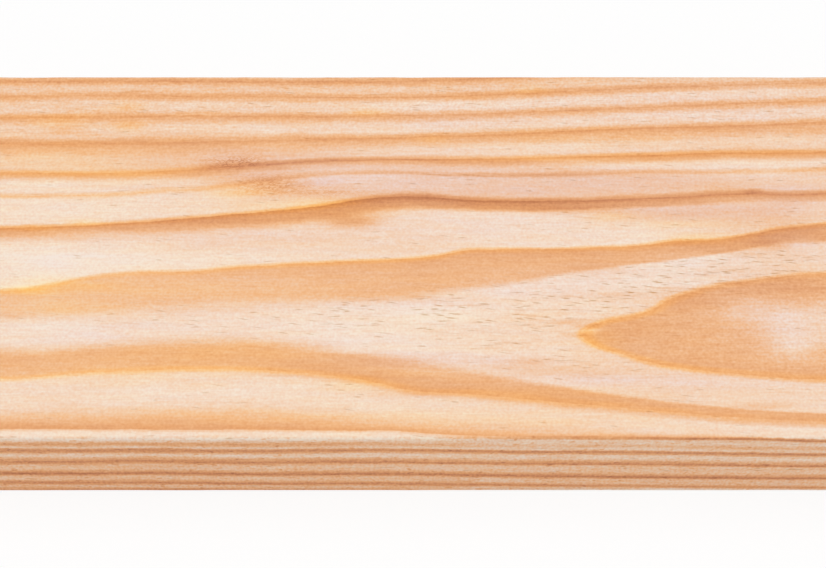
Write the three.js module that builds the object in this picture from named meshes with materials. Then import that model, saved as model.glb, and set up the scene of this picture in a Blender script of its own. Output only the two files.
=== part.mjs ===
// Timber plank: one sawn and planed piece of softwood stock, lying flat.
//
// Millimetres, +Z up. X runs along the grain, Y across the width and Z through the
// thickness. The origin is the middle of the underside, so the plank lies on z = 0.
//
// The planer gives the plank its section: two wide faces, two narrow edges, and the
// four long arrises between them eased to a small radius so that they don't splinter.
// That section is drawn once and swept along the grain. The ends are left as the
// crosscut saw leaves them: square to the length, flat, with a crisp edge all round.

import * as THREE from "three";

// Planed section, the finished size of a nominal 2 x 6 inch plank.
const WIDTH = 140;
const THICKNESS = 38;

// Stock length: 6 ft, the shortest that such planks are sold in.
const LENGTH = 1829;

// Radius that eases each of the four long arrises, and the flats that draw each arc.
const ARRIS_RADIUS = 1;
const ARRIS_FLATS = 6;

// Dry planed pine.
const PINE_COLOUR = 0xf0cda2;
const PINE_ROUGHNESS = 0.55;

// The section stands on y = 0 and is centred on x = 0. It is walked anticlockwise from
// the bottom left arris: each straight run ends where its arris starts to turn.
function planedSection(width, thickness, arris) {
  const side = width / 2;
  const turnX = side - arris;
  const turnTop = thickness - arris;
  const section = new THREE.Shape();
  section.moveTo(-turnX, 0);
  section.lineTo(turnX, 0);
  section.absarc(turnX, arris, arris, -Math.PI / 2, 0, false);
  section.lineTo(side, turnTop);
  section.absarc(turnX, turnTop, arris, 0, Math.PI / 2, false);
  section.lineTo(-turnX, thickness);
  section.absarc(-turnX, turnTop, arris, Math.PI / 2, Math.PI, false);
  section.lineTo(-side, arris);
  section.absarc(-turnX, arris, arris, Math.PI, 1.5 * Math.PI, false);
  return section;
}

// The sweep runs from the section's own plane by one stock length. No bevel is added:
// a crosscut end is square.
const plankGeometry = new THREE.ExtrudeGeometry(
  planedSection(WIDTH, THICKNESS, ARRIS_RADIUS),
  { depth: LENGTH, steps: 1, curveSegments: ARRIS_FLATS, bevelEnabled: false }
);

const pine = new THREE.MeshStandardMaterial({
  name: "planed_pine",
  color: PINE_COLOUR,
  roughness: PINE_ROUGHNESS,
  metalness: 0
});

// Two quarter turns lay the sweep down: its depth points along X, the section's width
// along Y and the section's height along Z. Half a length back centres it on the origin.
const plank = new THREE.Mesh(plankGeometry, pine);
plank.name = "plank";
plank.rotation.set(Math.PI / 2, Math.PI / 2, 0);
plank.position.set(-LENGTH / 2, 0, 0);

const timberPlank = new THREE.Group();
timberPlank.name = "timber_plank";
timberPlank.add(plank);

export default timberPlank;
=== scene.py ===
# %% [markdown]
# # A planed softwood plank
#
# The plank is one piece of pine, cut from one side of a log. Everything that can be seen
# on it comes from that: the long lines, the nested arches and the tight stripes of the
# edges are all the same growth rings, met by flat faces at different slants. So the
# wood is not painted onto the plank here. A small model of the log says how old the wood
# is at any point, and every face simply shows what it cuts through.

import math

import bmesh
import bpy
import numpy as np
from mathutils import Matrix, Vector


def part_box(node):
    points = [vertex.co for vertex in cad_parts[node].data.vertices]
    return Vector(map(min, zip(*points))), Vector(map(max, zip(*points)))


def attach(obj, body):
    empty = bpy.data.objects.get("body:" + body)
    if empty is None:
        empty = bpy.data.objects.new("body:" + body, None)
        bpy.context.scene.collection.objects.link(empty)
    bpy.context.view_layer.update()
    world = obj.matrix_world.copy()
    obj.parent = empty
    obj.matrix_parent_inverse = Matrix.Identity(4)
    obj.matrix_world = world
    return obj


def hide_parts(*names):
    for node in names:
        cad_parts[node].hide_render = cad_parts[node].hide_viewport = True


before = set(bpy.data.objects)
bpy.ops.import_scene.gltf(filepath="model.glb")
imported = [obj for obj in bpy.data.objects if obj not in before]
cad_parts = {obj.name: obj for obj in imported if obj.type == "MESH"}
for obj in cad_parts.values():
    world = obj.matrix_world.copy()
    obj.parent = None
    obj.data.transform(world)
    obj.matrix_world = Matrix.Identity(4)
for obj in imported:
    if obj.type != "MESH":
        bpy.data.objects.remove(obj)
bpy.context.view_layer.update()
low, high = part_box("plank")
print("plank box in metres:", low, high)

# %% [markdown]
# ## The plank's measures
#
# The sizes are read from the plank's own box, so the dressed plank can't drift from the
# measured one. Only the eased edges have a size of their own.

# %% Sizes that the rest of the lesson uses
MM = 0.001
LENGTH = high[0] - low[0]
WIDTH = high[1] - low[1]
THICKNESS = high[2] - low[2]
ARRIS_RADIUS = 1.0 * MM
LOWER_ARRIS_RADIUS = 0.5 * MM
print(f"length {LENGTH:.3f}, width {WIDTH:.3f}, thickness {THICKNESS:.3f}")

# %% [markdown]
# ## The camera
#
# A long lens from above and in front looks down on the wide face and still sees the
# whole front edge. Both ends run out of the picture. The camera stands square to the
# plank, so its long edges stay level.

# %% Put up the camera
LENS = 100.0
LOOK_DOWN = math.radians(59.2334)
CAMERA_DISTANCE = 749.4525 * MM
AIM = (0.0, -13.6024 * MM, THICKNESS)

camera_data = bpy.data.cameras.new("camera")
camera_data.lens = LENS
camera_data.sensor_width = 36.0
camera_data.clip_start = 0.01
camera = bpy.data.objects.new("camera", camera_data)
camera.location = (
    AIM[0],
    AIM[1] - CAMERA_DISTANCE * math.cos(LOOK_DOWN),
    AIM[2] + CAMERA_DISTANCE * math.sin(LOOK_DOWN),
)
camera.rotation_euler = (math.pi / 2 - LOOK_DOWN, 0.0, 0.0)
bpy.context.scene.collection.objects.link(camera)
bpy.context.scene.camera = camera
bpy.context.scene.view_settings.view_transform = "Standard"
print("camera at", tuple(round(v, 3) for v in camera.location))

# %% [markdown]
# ## Light
#
# Bare pine is matt and pale, and its colour is easily drowned. One big soft lamp
# overhead and an even white sky share the work: the wide face gets both, and the front
# edge, which turns away from the lamp, gets about four fifths of that. No highlight or
# hard shadow hides the grain.

# %% Sky and overhead lamp
SKY_STRENGTH = 0.54
LAMP_WATTS = 41.5
LAMP_SIZE = 3.0
LAMP_PLACE = (0.0, -0.2, 2.6)
WHITE = (1.0, 1.0, 1.0, 1.0)


def add_node(tree, kind, inputs, **settings):
    """A new node with its settings made, and each input that is named linked or given a value."""
    node = tree.nodes.new("ShaderNode" + kind)
    for name, setting in settings.items():
        setattr(node, name, setting)
    for socket, value in inputs.items():
        if isinstance(value, bpy.types.NodeSocket):
            tree.links.new(value, node.inputs[socket])
        else:
            node.inputs[socket].default_value = value
    return node


def seen_directly(tree):
    """1 for the rays that show a thing itself: from the camera, a mirror or a glass."""
    ray = add_node(tree, "LightPath", {}).outputs
    seen = ray["Is Camera Ray"]
    for kind in ("Is Glossy Ray", "Is Transmission Ray"):
        seen = add_node(tree, "Math", {0: seen, 1: ray[kind]}, operation="MAXIMUM").outputs[0]
    return seen


world = bpy.data.worlds.new("even_sky")
world.use_nodes = True
bpy.context.scene.world = world
sky = world.node_tree
sky.nodes.clear()
sky_light = add_node(sky, "Background", {"Color": WHITE, "Strength": SKY_STRENGTH}).outputs[0]
sky_seen = add_node(sky, "Background", {"Color": WHITE, "Strength": 1.0}).outputs[0]
sky_mix = add_node(sky, "MixShader", {"Fac": seen_directly(sky), 1: sky_light, 2: sky_seen})
add_node(sky, "OutputWorld", {"Surface": sky_mix.outputs["Shader"]})

lamp_data = bpy.data.lights.new("overhead", "AREA")
lamp_data.shape = "SQUARE"
lamp_data.size = LAMP_SIZE
lamp_data.energy = LAMP_WATTS
lamp = bpy.data.objects.new("overhead", lamp_data)
lamp.location = LAMP_PLACE
bpy.context.scene.collection.objects.link(lamp)
print("lamp", LAMP_WATTS, "W, sky", SKY_STRENGTH)

# %% [markdown]
# ## Floor
#
# A plain white floor carries the plank. A seventh of what the camera sees of it is its
# real, shaded surface, which keeps the plank's soft shadow, and the rest is plain white.

# %% Lay the floor
FLOOR_SIZE = 12.0
FLOOR_GAP = 0.2 * MM
FLOOR_WHITE = 0.97
PLAIN_WHITE_SHARE = 0.86

bpy.ops.object.select_all(action="DESELECT")
bpy.ops.mesh.primitive_plane_add(size=FLOOR_SIZE, location=(0.0, 0.0, low[2] - FLOOR_GAP))
floor = bpy.context.active_object
floor.name = "floor"
bpy.ops.object.transform_apply(location=True, rotation=True, scale=True)
floor_finish = bpy.data.materials.new("white_floor")
floor_finish.use_nodes = True
paint = floor_finish.node_tree
paint.nodes.clear()
matt = add_node(paint, "BsdfDiffuse", {"Color": (FLOOR_WHITE, FLOOR_WHITE, FLOOR_WHITE, 1.0)})
plain = add_node(paint, "Emission", {"Color": WHITE, "Strength": 1.0})
seen = add_node(paint, "Math", {0: seen_directly(paint), 1: PLAIN_WHITE_SHARE}, operation="MULTIPLY")
layers = {"Fac": seen.outputs[0], 1: matt.outputs[0], 2: plain.outputs[0]}
coat = add_node(paint, "MixShader", layers)
add_node(paint, "OutputMaterial", {"Surface": coat.outputs["Shader"]})
floor.data.materials.append(floor_finish)
print("floor at z", low[2] - FLOOR_GAP)

# %% [markdown]
# ## The plank's shape
#
# A planed plank is a box with its four long edges eased. It could be kept as the plain
# measured solid, but the age of the wood is worked out at the mesh's own points, so the
# faces need a grid: close across the grain, where rings follow each other every few
# millimetres, and longer along it, where they hardly change. The order of work is the
# cheap one: ease the edges while the box has only a few faces, cut the section into
# strips, and only then divide the length.

# %% A box at the plank's size and place
bpy.ops.object.select_all(action="DESELECT")
bpy.ops.mesh.primitive_cube_add(
    size=1.0,
    location=((low[0] + high[0]) / 2, (low[1] + high[1]) / 2, (low[2] + high[2]) / 2),
    scale=(LENGTH, WIDTH, THICKNESS),
)
plank = bpy.context.active_object
plank.name = "pine_plank"
plank.data.name = "pine_plank"
bpy.ops.object.transform_apply(location=True, rotation=True, scale=True)
print(plank.name, "size", tuple(round(v, 4) for v in plank.dimensions))

# %% [markdown]
# ## Eased edges
#
# The mill rounds the long edges so that they don't splinter in the hand, the upper ones by
# a millimetre and the lower ones by half of that. The saw leaves the rims of the ends
# sharp, and a stroke of sandpaper breaks them. A Bevel modifier would round every edge
# alike. The bevel operator in edit mode takes one set of edges after the other, each with
# its own radius.

# %% Ease the four long edges and break the rims of the ends
HAIR = 1e-6


def pick_edges(mesh, wanted):
    """Select only the edges for which wanted(first, second) is true."""
    bm = bmesh.from_edit_mesh(mesh)
    bm.select_mode = {"EDGE"}
    for part in (bm.verts, bm.edges, bm.faces):
        for item in part:
            item.select = False
    chosen = [e for e in bm.edges if wanted(e.verts[0].co, e.verts[1].co)]
    for edge in chosen:
        edge.select = True
    bm.select_flush_mode()
    bmesh.update_edit_mesh(mesh)
    return len(chosen)


def runs_along(first, second):
    """True for an edge that runs along the grain."""
    return abs(first.x - second.x) > HAIR


def around_an_end(first, second):
    """True for an edge in the rim of a sawn end."""
    return not runs_along(first, second) and abs(first.x) > LENGTH / 2 - HAIR


ARRIS_STEPS = 4
END_EASE = 0.4 * MM
END_STEPS = 2
bpy.ops.object.mode_set(mode="EDIT")
bpy.ops.mesh.select_mode(type="EDGE")
eased = 0
for radius, lower in ((ARRIS_RADIUS, False), (LOWER_ARRIS_RADIUS, True)):
    middle = (low[2] + high[2]) / 2
    eased += pick_edges(plank.data, lambda a, b: runs_along(a, b) and (a.z < middle) == lower)
    bpy.ops.mesh.bevel(offset=radius, segments=ARRIS_STEPS, profile=0.5, affect="EDGES")
rims = pick_edges(plank.data, around_an_end)
bpy.ops.mesh.bevel(offset=END_EASE, segments=END_STEPS, profile=0.5, affect="EDGES")
print("long edges eased:", eased, "and edges round the ends:", rims)

# %% [markdown]
# ## Strips across the grain
#
# The narrowest year is about five millimetres wide on a face, so strips of one millimetre
# are fine enough to carry it. By hand this would be a loop cut. From code, bisecting the
# mesh at even places gives the same strips, right round the plank.

# %% Cut the section into strips
STRIP = 1.0 * MM


def cut_at(normal, places):
    """Bisect the whole mesh square to a direction, at each of the places along it."""
    for place in places:
        bpy.ops.mesh.select_all(action="SELECT")
        bpy.ops.mesh.bisect(plane_co=[place * part for part in normal], plane_no=normal)


def even_places(first, last, step):
    """Places a step apart, from the first to the last."""
    count = int(round((last - first) / step))
    return [first + (last - first) * i / count for i in range(count + 1)]


side_cuts = even_places(low[1] + 2 * STRIP, high[1] - 2 * STRIP, STRIP)
rise_cuts = even_places(low[2] + 2 * STRIP, high[2] - 2 * STRIP, STRIP)
cut_at((0.0, 1.0, 0.0), side_cuts)
cut_at((0.0, 0.0, 1.0), rise_cuts)
print("cuts across the width:", len(side_cuts), "and up the thickness:", len(rise_cuts))

# %% [markdown]
# ## Cuts along the grain
#
# Along the grain the rings change slowly, so far fewer cuts do: one each four millimetres
# in the middle, where the arches open, and one each seventeen in the rest. The borders of
# these stretches are cut first, and each stretch is then subdivided. A narrow strip next to
# each end stays out of it, so that the relief can fade there and leave the sawn rim clean.

# %% Divide the length, finer where the figure is busiest
BUSY = 0.150
BUSY_CUTS = 74
QUIET_CUTS = 44
END_STRIP = 1.5 * MM
cut_at((1.0, 0.0, 0.0), (low[0] + END_STRIP, -BUSY, BUSY, high[0] - END_STRIP))
for cuts, busy in ((QUIET_CUTS, False), (BUSY_CUTS, True)):
    pick_edges(plank.data, lambda a, b: abs(a.x - b.x) > BUSY and (abs(a.x + b.x) < BUSY) == busy)
    bpy.ops.mesh.subdivide(number_cuts=cuts)
bpy.ops.mesh.select_all(action="SELECT")
bpy.ops.mesh.remove_doubles(threshold=1e-7)
bpy.ops.mesh.normals_make_consistent(inside=False)
bpy.ops.object.mode_set(mode="OBJECT")
print("plank faces:", len(plank.data.polygons))

# %% [markdown]
# ## The log
#
# A tree adds one ring a year, so a ring is a tube about the pith, the centre line of the
# log. This plank was cut beside the pith: the pith runs above the wide face and wanders
# a little, as it does in every tree. Where it comes nearer, the face reaches younger
# wood, and the rings open into arches; where it draws away, they close again. The
# front edge stands square to the same rings and cuts them into tight stripes.
#
# The pith is written as a few places along the plank, joined by a smooth curve, and the
# years as a list of radii. Both could be guessed. Here a least-squares fit to measured
# ring lines gave the middle of the plank, which is five places of the pith and nine of the
# radii. The rest of both lists is chosen.

# %% The pith and the years
# x along the plank, y across it, and height above the wide face, all in millimetres
# the five places from -140 to 140 are the fit's, the others are chosen
PITH = (
    (-930, -20, 64), (-760, -12, 58), (-600, -16, 48), (-450, -24, 45), (-300, -30, 53),
    (-210, -31, 57), (-140, -30.5, 57.8), (-70, -30.5, 57.4), (0, -28.4, 55.9), (70, -25.3, 52.9),
    (140, -23.6, 50.7), (230, -22, 47), (360, -24, 44), (500, -31, 49), (650, -38, 58),
    (790, -36, 63), (930, -30, 60),
)  # fmt: skip
# the first radius is the outer edge of year FIRST_YEAR, then one for each year, in mm
# the nine from 53.5 to 110.6 are the fit's, moved by 0.4 mm at most
FIRST_YEAR = -4
RING_RADII = (
    22.0, 30.5, 38.5, 46.0, 53.5, 61.7, 68.8, 76.9, 83.6, 91.5, 97.9, 104.4, 110.6,
    116.0, 121.8, 126.6, 132.0, 136.6, 142.0, 146.6, 152.0, 156.6,
)  # fmt: skip
TOP = THICKNESS / MM


def smooth_through(stations, column, x):
    """A smooth curve through one column of the stations, read at x."""
    xs, vs = np.array(stations, float)[:, [0, column]].T
    slope = np.gradient(vs, xs)
    i = np.clip(np.searchsorted(xs, x) - 1, 0, len(xs) - 2)
    gap = xs[i + 1] - xs[i]
    t = np.clip((x - xs[i]) / gap, 0.0, 1.0)
    rise = (1 - t) ** 2
    return (
        rise * (1 + 2 * t) * vs[i]
        + rise * t * gap * slope[i]
        + t * t * (3 - 2 * t) * vs[i + 1]
        - t * t * (1 - t) * gap * slope[i + 1]
    )


print("years:", len(RING_RADII), "oldest radius", RING_RADII[-1], "mm")

# %% [markdown]
# ## Where the rings are pushed aside
#
# Real rings are never true circles: a branch that was overgrown years ago, a dent or
# leaning growth pushes them to one side. Noise could bend them, but then nobody chooses
# where. Each push below is a soft spot with its own place and reach, which shifts the rings
# by up to eight millimetres and fades with depth. The same fit gave the first nine, and the
# others were added one by one, where a measured ring still lay off or past the fitted stretch.

# %% Pushes on the wide face
# place x, y, reach along, reach across, and sideways push, in millimetres
# the first nine rows are the fit's, rounded
PUSHES = (
    (-18, 12, 90, 12, 7), (-18, 26, 40, 9, 7.8), (-61, -49, 71, 14, 8), (-100, 59, 90, 16, 6),
    (-138, -16, 37, 10, -7.3), (80, -34, 62, 22, -8), (99, 0, 90, 9, -6.6), (132, -55, 41, 14, -8),
    (136, 39, 90, 12, -4.1), (-105, -11, 25, 5, 0.6), (-85, 25, 16, 4, 0.8),
    (-5, -53, 16, 5, -1.2), (23, 0, 12, 5, 0.7), (3, 21, 14, 4, 0.6), (52, 21, 18, 4, -0.6),
    (108, -15, 30, 6, 1.5), (70, -24, 10, 4, -1.6), (92, -45, 28, 5, -1.5), (18, -1, 9, 4, 0.8),
    (33, 0, 10, 4, 0.3), (84, -19, 5, 3, 0.5), (-36, 17, 26, 4, -0.8), (60, 20, 50, 4, -0.4),
    (-40, 43, 40, 4, 0.3), (0, 53, 40, 4, 0.4), (-55, -46, 30, 4, 0.3), (5, -53, 8, 4, -0.5),
    (36, -56, 12, 4, 0.4), (-8, -2, 24, 5, -0.8), (-105, 22, 34, 4, -0.6), (-110, 31, 40, 4, -0.4),
    (0, 30.5, 40, 4, -0.4), (-112, 54, 30, 5, -0.4), (68, 57, 30, 4, -0.3), (82, -19, 10, 5, -0.6),
    (126, -11, 12, 5, 1.2), (80, -43, 14, 5, -0.8), (-126, -48, 10, 5, -0.7),
    (92, -63, 20, 5, -0.4), (-70, -67, 60, 4, -0.2), (108, 21, 14, 4, 0.9), (104, 38, 16, 4, 0.7),
    (76, 29, 10, 3, 0.8), (86, 3, 9, 3.5, 0.45), (118, -61, 10, 3.5, 0.4), (-74, -8, 9, 4, -0.7),
    (25, 0, 6, 4, -0.4), (126, 22, 10, 4, -0.5), (-84, 23, 6, 3, 0.4), (-73, 25, 5, 3, -0.4),
    (-54, 28, 6, 3, 0.5), (10, 29.5, 12, 3, -0.4), (-64, 31, 7, 3, 0.5), (-118, 43, 14, 3, -0.5),
    (6, 45.5, 7, 3, 0.5), (-78, 62, 12, 3, -0.4), (34, -69, 24, 3, -0.9), (-8, -68, 10, 2.5, 0.4),
    (85, -10, 10, 3, 0.4), (-330, 20, 80, 18, 5), (-520, -40, 90, 16, -6), (-700, 8, 70, 14, 6),
    (330, 22, 80, 16, 5), (470, -30, 90, 18, 7), (640, 30, 70, 14, -5), (800, -10, 80, 16, 6),
)  # fmt: skip
PUSH_DEPTH = 30.0
print("pushes on the wide face:", len(PUSHES))

# %% Pushes on the front edge, and a slow weave of the grain past the middle
# place x, height, reach along, reach in height, and push down, in millimetres
EDGE_PUSHES = (
    (-90, 29.5, 110, 4, 1.1), (30, 28, 50, 4, 0.3), (90, 26.5, 40, 3, 0.3), (-130, 21, 50, 3, 0.5),
    (0, 20.5, 60, 3, 0.4), (70, 11, 45, 3, 0.6), (-80, 0, 110, 2.5, 1), (-120, 19, 70, 14, 0.55),
    (106, 37, 18, 2.5, -0.9), (-86, 19, 14, 16, -0.7), (-48, 19, 12, 16, 0.65),
)  # fmt: skip
FRONT_DEPTH = 1.5
# length of one sway, how far it goes in y and in z, and where it starts
WEAVES = ((410.0, 2.2, 1.4, 0.4), (233.0, 1.2, 0.9, 2.1), (117.0, 0.5, 0.5, 4.0))
WEAVE_FROM = 200.0
Z_TURNS_AHEAD = 2.6
print("pushes on the front edge:", len(EDGE_PUSHES), "and sways:", len(WEAVES))

# %% The ring number of every point
STEEPNESS = 6


def soft_spot(p, x, y, reach_x, reach_y):
    """1 at a place on the wide face, fading to 0 around it and below it."""
    return np.exp(
        -(((p[:, 0] - x) / reach_x) ** 2)
        - ((p[:, 1] - y) / reach_y) ** 2
        - ((p[:, 2] - TOP) / PUSH_DEPTH) ** 2
    )


def front_spot(p, x, height, reach_x, reach_z):
    """1 at a place on the front edge, fading to 0 around it and behind it."""
    return np.exp(
        -(((p[:, 0] - x) / reach_x) ** 2)
        - ((p[:, 2] - height) / reach_z) ** 2
        - ((p[:, 1] + WIDTH / MM / 2) / FRONT_DEPTH) ** 2
    )


def outside(x, reach):
    """0 over the middle of the plank, rising quickly to 1 past a reach."""
    return 1 - np.exp(-((x / reach) ** STEEPNESS))


def ring_number(p):
    """How many years out from the first ring each point is; whole numbers are ring edges."""
    x = p[:, 0]
    quiet = outside(x, WEAVE_FROM)
    y = p[:, 1].copy()
    z = p[:, 2].copy()
    for px, py, rx, ry, push in PUSHES:
        y -= push * soft_spot(p, px, py, rx, ry)
    for px, pz, rx, rz, push in EDGE_PUSHES:
        z += push * front_spot(p, px, pz, rx, rz)
    for span, sway_y, sway_z, turn in WEAVES:
        y += quiet * sway_y * np.sin(2 * np.pi * x / span + turn)
        z += quiet * sway_z * np.sin(2 * np.pi * x / span + Z_TURNS_AHEAD * turn)
    aside = y - smooth_through(PITH, 1, x)
    below = TOP + smooth_through(PITH, 2, x) - z
    radius = np.hypot(aside, below)
    years = FIRST_YEAR + np.arange(len(RING_RADII))
    return np.interp(radius, RING_RADII, years), aside, below


def read_all(items, name, kind=float):
    """One property of every vertex, face or corner, as an array."""
    width = np.size(getattr(items[0], name))
    values = np.empty(len(items) * width, kind)
    items.foreach_get(name, values)
    return values.reshape(-1, width) if width > 1 else values


points = read_all(plank.data.vertices, "co") / MM
ring, aside, below = ring_number(points)
print("ring numbers from", round(ring.min(), 1), "to", round(ring.max(), 1))

# %% [markdown]
# ## How each year's wood was laid down
#
# A year starts with wide, thin-walled, pale cells in spring and ends with narrow,
# thick-walled, dark ones in late summer. Then growth stops, which leaves the sharp outer
# line, and a little of its colour soaks into the next spring. No two years are alike, so
# each has its own record. Tones run from 0, the palest wood, to 1, the darkest:
#
# - early: the tone of its early wood
# - start: where in the year the late wood starts, and soft: how gradually
# - late and line: the tone where the late wood starts, and at its outer line
# - glow and reach: how much of the line's tone spills over it, and how far, in mm
# - gold: how yellow the wood is beside the line, where resin gathers, and rim: how wide
#   that rim is, in mm
# - false: how dark a second, weaker band is, such as a dry summer leaves, and false_at:
#   its time of year
#
# A trait may change along the plank, and the far side of the pith may differ from the
# near side. The records began as tones that a fit and averages gave for a real plank, year
# by year and in windows along it, and were then corrected. They are written in
# whole hundredths, which keeps them short enough to compare.

# %% The plain year
# seven numbers are the values at these places along the plank, in millimetres
STATIONS = (-120, -80, -40, 0, 40, 80, 120)


def year(**record):
    """One year's record, out of numbers in hundredths."""
    return {name: np.array(value) / 100 for name, value in record.items()}


PLAIN_YEAR = year(
    early=26, start=68, soft=15, late=45, line=80, glow=52, reach=200, gold=30, rim=220, false=0,
    false_at=50,
)  # fmt: skip
print("traits of a year:", ", ".join(PLAIN_YEAR))

# %% [markdown]
# ## The record of each year
#
# Only what differs from the plain year is written down. The years lie on both sides of the
# pith, the far side toward the back of the plank and the near side toward its front, and
# the front edge cuts the outer ones squarely, which shows each of them in another way.

# %% Years on the far side of the pith
FAR_YEARS = {
    0: year(
        early=(24, 24, 24, 24, 26, 26, 22), start=(62, 62, 62, 62, 62, 64, 72),
        line=(38, 38, 38, 38, 40, 52, 62), gold=(190, 190, 190, 190, 210, 180, 80),
        soft=6, late=54, glow=45, reach=120, rim=340,
    ),
    1: year(
        early=(6, 13, 10, 8, 13, 9, 22), start=(56, 56, 51, 43, 41, 59, 87),
        soft=(6, 7, 7, 6, 5, 5, 5), late=(34, 38, 40, 48, 48, 53, 68),
        line=(38, 48, 56, 62, 66, 68, 88), glow=(70, 50, 45, 45, 45, 45, 50),
        gold=(120, 140, 180, 210, 140, 180, 130), reach=100,
    ),
    2: year(
        early=(4, 10, 15, 16, 13, 12, 32), start=(70, 68, 60, 72, 55, 60, 70),
        soft=(14, 13, 14, 10, 8, 9, 9), late=(50, 56, 64, 72, 72, 56, 52),
        line=(82, 92, 94, 124, 118, 102, 102), glow=(50, 40, 30, 58, 55, 55, 60),
        reach=(140, 140, 140, 200, 190, 190, 220), gold=(160, 120, 180, 90, 50, 40, 40),
    ),
    3: year(
        early=(7, 12, 17, 29, 31, 33, 18), late=(28, 28, 34, 40, 42, 42, 34),
        line=(54, 48, 70, 74, 84, 72, 50), glow=(45, 45, 45, 45, 60, 60, 50),
        reach=(160, 160, 160, 160, 220, 220, 180), gold=(90, 80, 40, 0, -30, 10, 50),
        start=88, soft=6,
    ),
    4: year(
        early=(10, 19, 30, 30, 30, 16, 13), start=(70, 56, 54, 56, 62, 62, 64),
        late=(50, 42, 42, 46, 58, 58, 50), line=(66, 70, 110, 106, 86, 88, 94),
        glow=(45, 50, 65, 50, 45, 50, 55), gold=(110, 140, 10, 50, 140, 160, 150),
        soft=16, reach=190,
    ),
    5: year(
        early=(22, 28, 27, 21, 18, 24, 20), start=(62, 52, 52, 62, 60, 56, 64),
        late=(44, 43, 41, 43, 43, 43, 45), line=(76, 76, 78, 82, 82, 80, 84),
        glow=(70, 70, 66, 52, 52, 52, 52), reach=(320, 320, 300, 230, 230, 230, 230),
        gold=(60, 30, 20, 30, 70, 50, 40),
    ),
    6: year(early=(26, 22, 18, 18, 20, 18, 17), gold=(90, 50, 20, 20, 20, 50, 40), reach=230),
    7: year(
        early=(28, 22, 22, 15, 14, 18, 20), line=(78, 78, 78, 80, 90, 84, 78),
        gold=(30, 20, 10, 30, 60, -10, -40), soft=13,
    ),
    8: year(line=(94, 96, 96, 86, 96, 92, 84), early=28, start=64, soft=18, gold=20),
}  # fmt: skip
print("far side, years of their own:", sorted(FAR_YEARS))

# %% Years on the near side
NEAR_YEARS = {
    0: year(
        early=(24, 24, 24, 24, 26, 26, 22), start=(62, 62, 62, 62, 62, 64, 78),
        line=(36, 36, 36, 36, 40, 58, 62), gold=(150, 150, 150, 150, 200, 190, 140),
        soft=6, late=51, glow=50, reach=160, rim=340,
    ),
    1: year(
        early=(11, 8, 7, 10, 14, 20, 16), start=(66, 55, 50, 54, 60, 72, 70),
        soft=(8, 8, 9, 12, 7, 5, 5), late=(49, 50, 50, 54, 53, 56, 58),
        line=(38, 46, 46, 56, 62, 64, 68), glow=(40, 55, 60, 60, 62, 65, 65),
        reach=(80, 180, 220, 240, 280, 340, 340), gold=(120, 150, 160, 120, 120, 100, 40),
        rim=(220, 220, 220, 300, 320, 260, 220),
    ),
    2: year(
        early=(15, 11, 10, 14, 18, 15, 12), start=(70, 66, 65, 70, 72, 84, 88),
        soft=(26, 22, 20, 26, 24, 16, 10), late=(52, 48, 40, 42, 38, 44, 48),
        line=(76, 74, 74, 66, 74, 104, 112), glow=(30, 30, 30, 30, 45, 55, 55),
        reach=(80, 80, 80, 80, 110, 120, 120), gold=20,
    ),
    3: year(early=12, start=44, soft=12, late=45, line=98, glow=45, reach=140, gold=0),
    4: year(early=21, start=70, soft=20, late=50, line=92, glow=45, reach=140, gold=0),
    5: year(early=34, start=74, soft=18, late=54, line=100, glow=50, reach=160, gold=0),
    6: year(early=42, start=78, soft=15, late=58, line=100, glow=50, reach=180, gold=0),
    7: year(early=42, start=78, late=58, line=100, glow=50, reach=180, gold=0),
}  # fmt: skip
print("near side, years of their own:", sorted(NEAR_YEARS))

# %% Years on the front edge
EDGE_YEARS = {
    2: year(
        late=(60, 60, 60, 60, 66, 70, 70), line=(80, 80, 80, 80, 100, 110, 115),
        early=16, start=87, soft=6, glow=70, reach=160, gold=10,
    ),
    3: year(
        early=(24, 24, 24, 24, 22, 22, 24), glow=(80, 80, 72, 60, 60, 60, 60),
        reach=(260, 250, 220, 190, 180, 180, 180), false=(36, 36, 34, 24, 12, 20, 20),
        false_at=(57, 56, 55, 54, 52, 50, 50), start=81, soft=6, late=80, line=94, gold=20,
    ),
    4: year(
        start=(61, 61, 63, 65, 65, 65, 65), reach=(300, 290, 260, 220, 200, 200, 200),
        early=20, soft=18, late=56, line=95, glow=92, gold=30,
    ),
    5: year(
        early=(36, 36, 34, 33, 33, 33, 33), reach=(290, 280, 260, 230, 220, 220, 220),
        start=75, soft=14, late=66, line=106, glow=88, gold=30,
    ),
    6: year(
        start=(73, 73, 75, 79, 81, 83, 83), line=(105, 105, 105, 95, 90, 88, 88),
        reach=(220, 220, 220, 230, 220, 180, 180), early=35, soft=13, late=62, glow=74, gold=10,
    ),
    7: year(
        false=(20, 20, 15, 10, 0, 0, 0),
        early=36, start=74, late=60, line=110, glow=70, reach=180, gold=0, false_at=55,
    ),
}  # fmt: skip
print("front edge, years of their own:", sorted(EDGE_YEARS))

# %% [markdown]
# ## From the records to the points
#
# Each point of the mesh looks up its own year. At a ring line one year hands over to the
# next, and a sudden change of a trait there would show as a jagged step from point to
# point, so two neighbouring years are blended over a short part of a year. The same goes
# for the two sides of the pith and for the rounding between the wide face and the front.

# %% Look up every trait at every point
# when one record gives way to the next, and how slowly, as parts of a year
YEAR_HANDS_OVER = (0.28, 0.07)
# the tone of the early wood changes at the line itself, all else just after it
EARLY_HANDS_OVER = (-0.04, 0.08)
PITH_BLEND = 12.0


def along_grain(value, x):
    """A trait along the plank: one number everywhere, or one for each station."""
    if value.ndim == 0:
        return np.full_like(x, value)
    # past the last station the record runs back, so the trait keeps changing and never jumps
    first, last = STATIONS[0], STATIONS[-1]
    stretch = last - first
    return np.interp(last - np.abs((x - first) % (2 * stretch) - stretch), STATIONS, value)


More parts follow.
